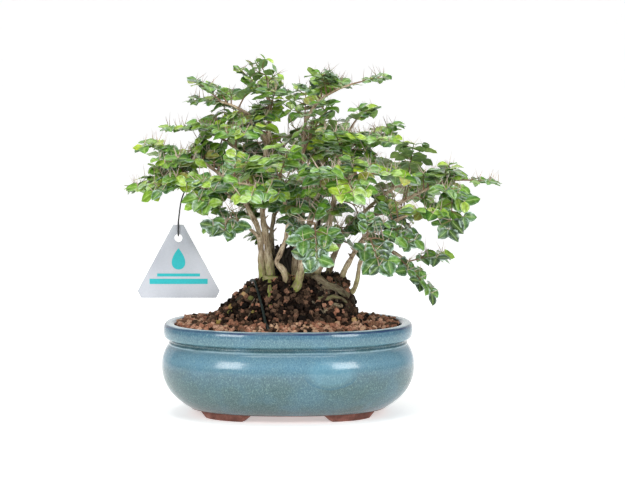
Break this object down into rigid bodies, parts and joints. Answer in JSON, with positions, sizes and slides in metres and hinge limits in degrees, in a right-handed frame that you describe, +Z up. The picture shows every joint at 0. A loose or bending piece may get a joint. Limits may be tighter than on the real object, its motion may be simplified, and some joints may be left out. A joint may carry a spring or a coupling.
{
  "type": "damnacanthus bonsai",
  "caption": "Small multi-stemmed bonsai with ovate leaves and needle spines on a soil mound in an oval glazed pot with low feet, an anchor wire and a blank hanging tag.",
  "frame": {"origin": "under the middle of the whole object's bounding box, on the surface that the pot's feet stand on", "axes": "+Z up, +X along the pot's length to the viewer's right, -Y towards the viewer"},
  "size_m": [0.3028, 0.2186, 0.2881],
  "materials": {
    "pot_glaze": "mottled blue-green glaze, glossy, bare reddish clay on the feet",
    "soil": "loose rust-brown granules round a dark root ball",
    "bark": "rough tan-grey bark with green algae near the soil",
    "foliage": "satin green leaves and pale spines",
    "dark_wire": "dark coated",
    "frosted_plastic": "frosted, with a plain turquoise band",
    "mesh_plastic": "black"
  },
  "bodies": {
    "root": {"pot": "pot_glaze", "drain_mesh_left": "mesh_plastic", "drain_mesh_right": "mesh_plastic", "wood": "bark", "anchor_wire": "dark_wire", "soil": "soil", "tag": "frosted_plastic", "tag_wire": "dark_wire", "spray_left_far_low": "foliage", "spray_left_low_near": "foliage", "spray_left_low_far": "foliage", "spray_left_far_mid": "foliage", "spray_left_mid_front": "foliage", "spray_left_mid_back": "foliage", "spray_left_top": "foliage", "spray_left_top_back": "foliage", "spray_left_high": "foliage", "spray_left_high_front": "foliage", "spray_crown_left": "foliage", "spray_crown_top": "foliage", "spray_crown_front": "foliage", "spray_top_right_long": "foliage", "spray_top_right_pad": "foliage", "spray_top_right_back": "foliage", "spray_top_middle": "foliage", "spray_right_high": "foliage", "spray_right_shoulder": "foliage", "spray_right_shoulder_front": "foliage", "spray_right_shoulder_back": "foliage", "spray_right_crest": "foliage", "spray_right_long": "foliage", "spray_right_long_front": "foliage", "spray_right_drop": "foliage", "spray_right_near": "foliage", "spray_right_low": "foliage", "spray_low_right": "foliage", "spray_low_right_drop": "foliage", "spray_right_rear": "foliage", "spray_right_rear_low": "foliage", "spray_front_right": "foliage", "spray_front_right_near": "foliage", "spray_front_left": "foliage", "spray_front_left_near": "foliage", "spray_front_middle": "foliage", "spray_front_upper": "foliage", "spray_front_centre": "foliage", "spray_front_high_left": "foliage", "spray_centre_high": "foliage", "spray_front_low_left": "foliage", "spray_front_low": "foliage", "spray_front_low_right": "foliage", "spray_back_left": "foliage", "spray_back_left_low": "foliage", "spray_back_left_high": "foliage", "spray_back_centre": "foliage", "spray_back_high": "foliage", "spray_back_right": "foliage", "spray_back_right_low": "foliage", "spray_inner_right": "foliage", "spray_inner_left": "foliage"}
  },
  "joints": []
}
